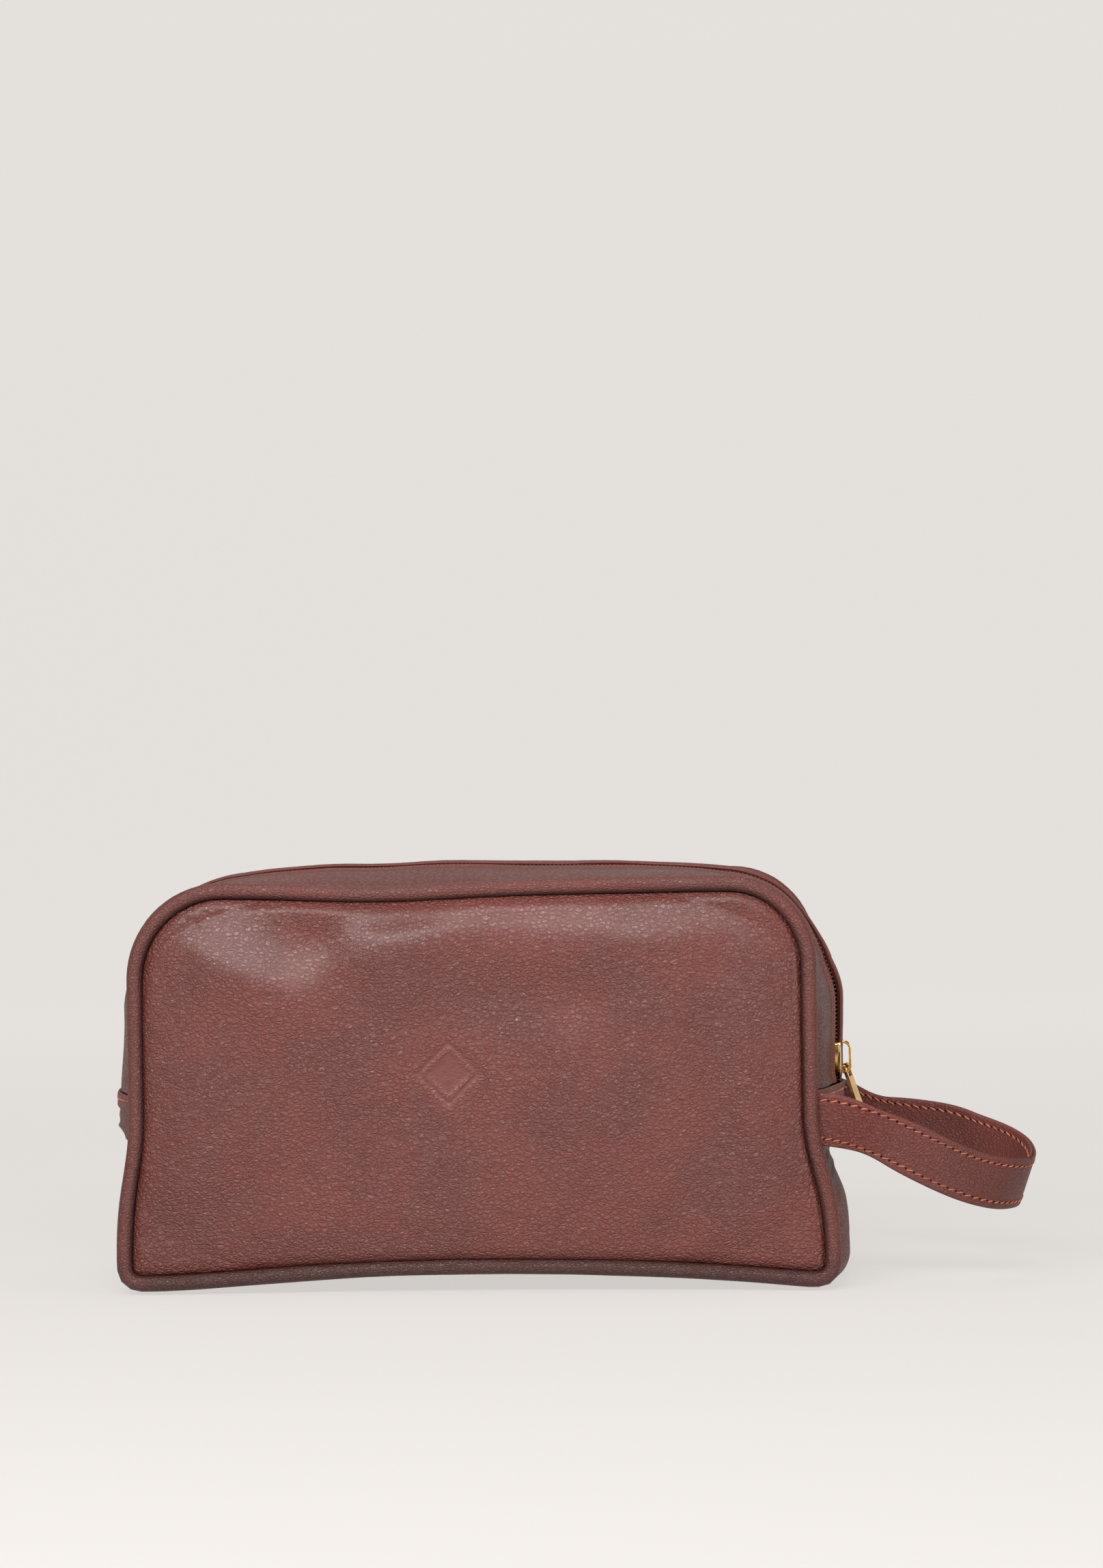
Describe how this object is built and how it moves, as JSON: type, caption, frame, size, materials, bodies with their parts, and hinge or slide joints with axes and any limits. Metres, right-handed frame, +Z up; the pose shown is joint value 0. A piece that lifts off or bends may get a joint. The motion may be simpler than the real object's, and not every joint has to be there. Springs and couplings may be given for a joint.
{
  "type": "shaving kit bag",
  "caption": "Brown leather shaving kit bag with piped seams, a wrap-over zip with a brass slider and puller, and a wrist loop at one side.",
  "frame": {"origin": "middle of the flat underside of the bag", "axes": "+X towards the wrist loop's side, -Y out of the front face, +Z up"},
  "size_m": [0.3419, 0.109, 0.157],
  "materials": {
    "panel_leather": "semi-gloss pebble grain",
    "piping_leather": "semi-gloss, fine grain",
    "gusset_leather": "semi-gloss pebble grain",
    "strap_leather": "semi-gloss pebble grain",
    "piping_filler": "twisted cord",
    "stiffener_board": "pressed fibre",
    "zip_tape_cloth": "woven tape",
    "zip_coil_nylon": "satin",
    "gold_plated_metal": "polished",
    "lining_cloth": "plain weave"
  },
  "bodies": {
    "bag": {"front_panel": "panel_leather", "back_panel": "panel_leather", "front_piping": "piping_leather", "back_piping": "piping_leather", "front_piping_cord": "piping_filler", "back_piping_cord": "piping_filler", "zip_strip_front": "gusset_leather", "zip_strip_back": "gusset_leather", "base_gusset": "gusset_leather", "base_board": "stiffener_board", "zip_tape_front": "zip_tape_cloth", "zip_tape_back": "zip_tape_cloth", "zip_coil_front": "zip_coil_nylon", "zip_coil_back": "zip_coil_nylon", "handle_end_front": "strap_leather", "handle_end_back": "strap_leather", "lining_front": "lining_cloth", "lining_back": "lining_cloth", "lining_gusset": "lining_cloth", "lining_zip_front": "lining_cloth", "lining_zip_back": "lining_cloth", "pocket_panel": "lining_cloth", "pocket_binding": "gusset_leather"},
    "slider": {"slider_body": "gold_plated_metal", "slider_crown": "gold_plated_metal"},
    "puller": {"zip_puller": "gold_plated_metal"},
    "wrist_loop": {"handle_outer_strip": "strap_leather", "handle_inner_strip": "strap_leather", "handle_core": "stiffener_board"}
  },
  "joints": [
    {"name": "zip_travel", "type": "slide", "parent": "bag", "child": "slider", "axis": [0, 0, 1], "range_m": [0, 0.02]},
    {"name": "puller_swing", "type": "hinge", "parent": "slider", "child": "puller", "pos_m": [0.1373, 0, 0.0784], "axis": [0, -1, 0], "range_deg": [0, 110]},
    {"name": "loop_lift", "type": "hinge", "parent": "bag", "child": "wrist_loop", "pos_m": [0.13824, 0, 0.0625], "axis": [0, -1, 0], "range_deg": [0, 40]}
  ]
}
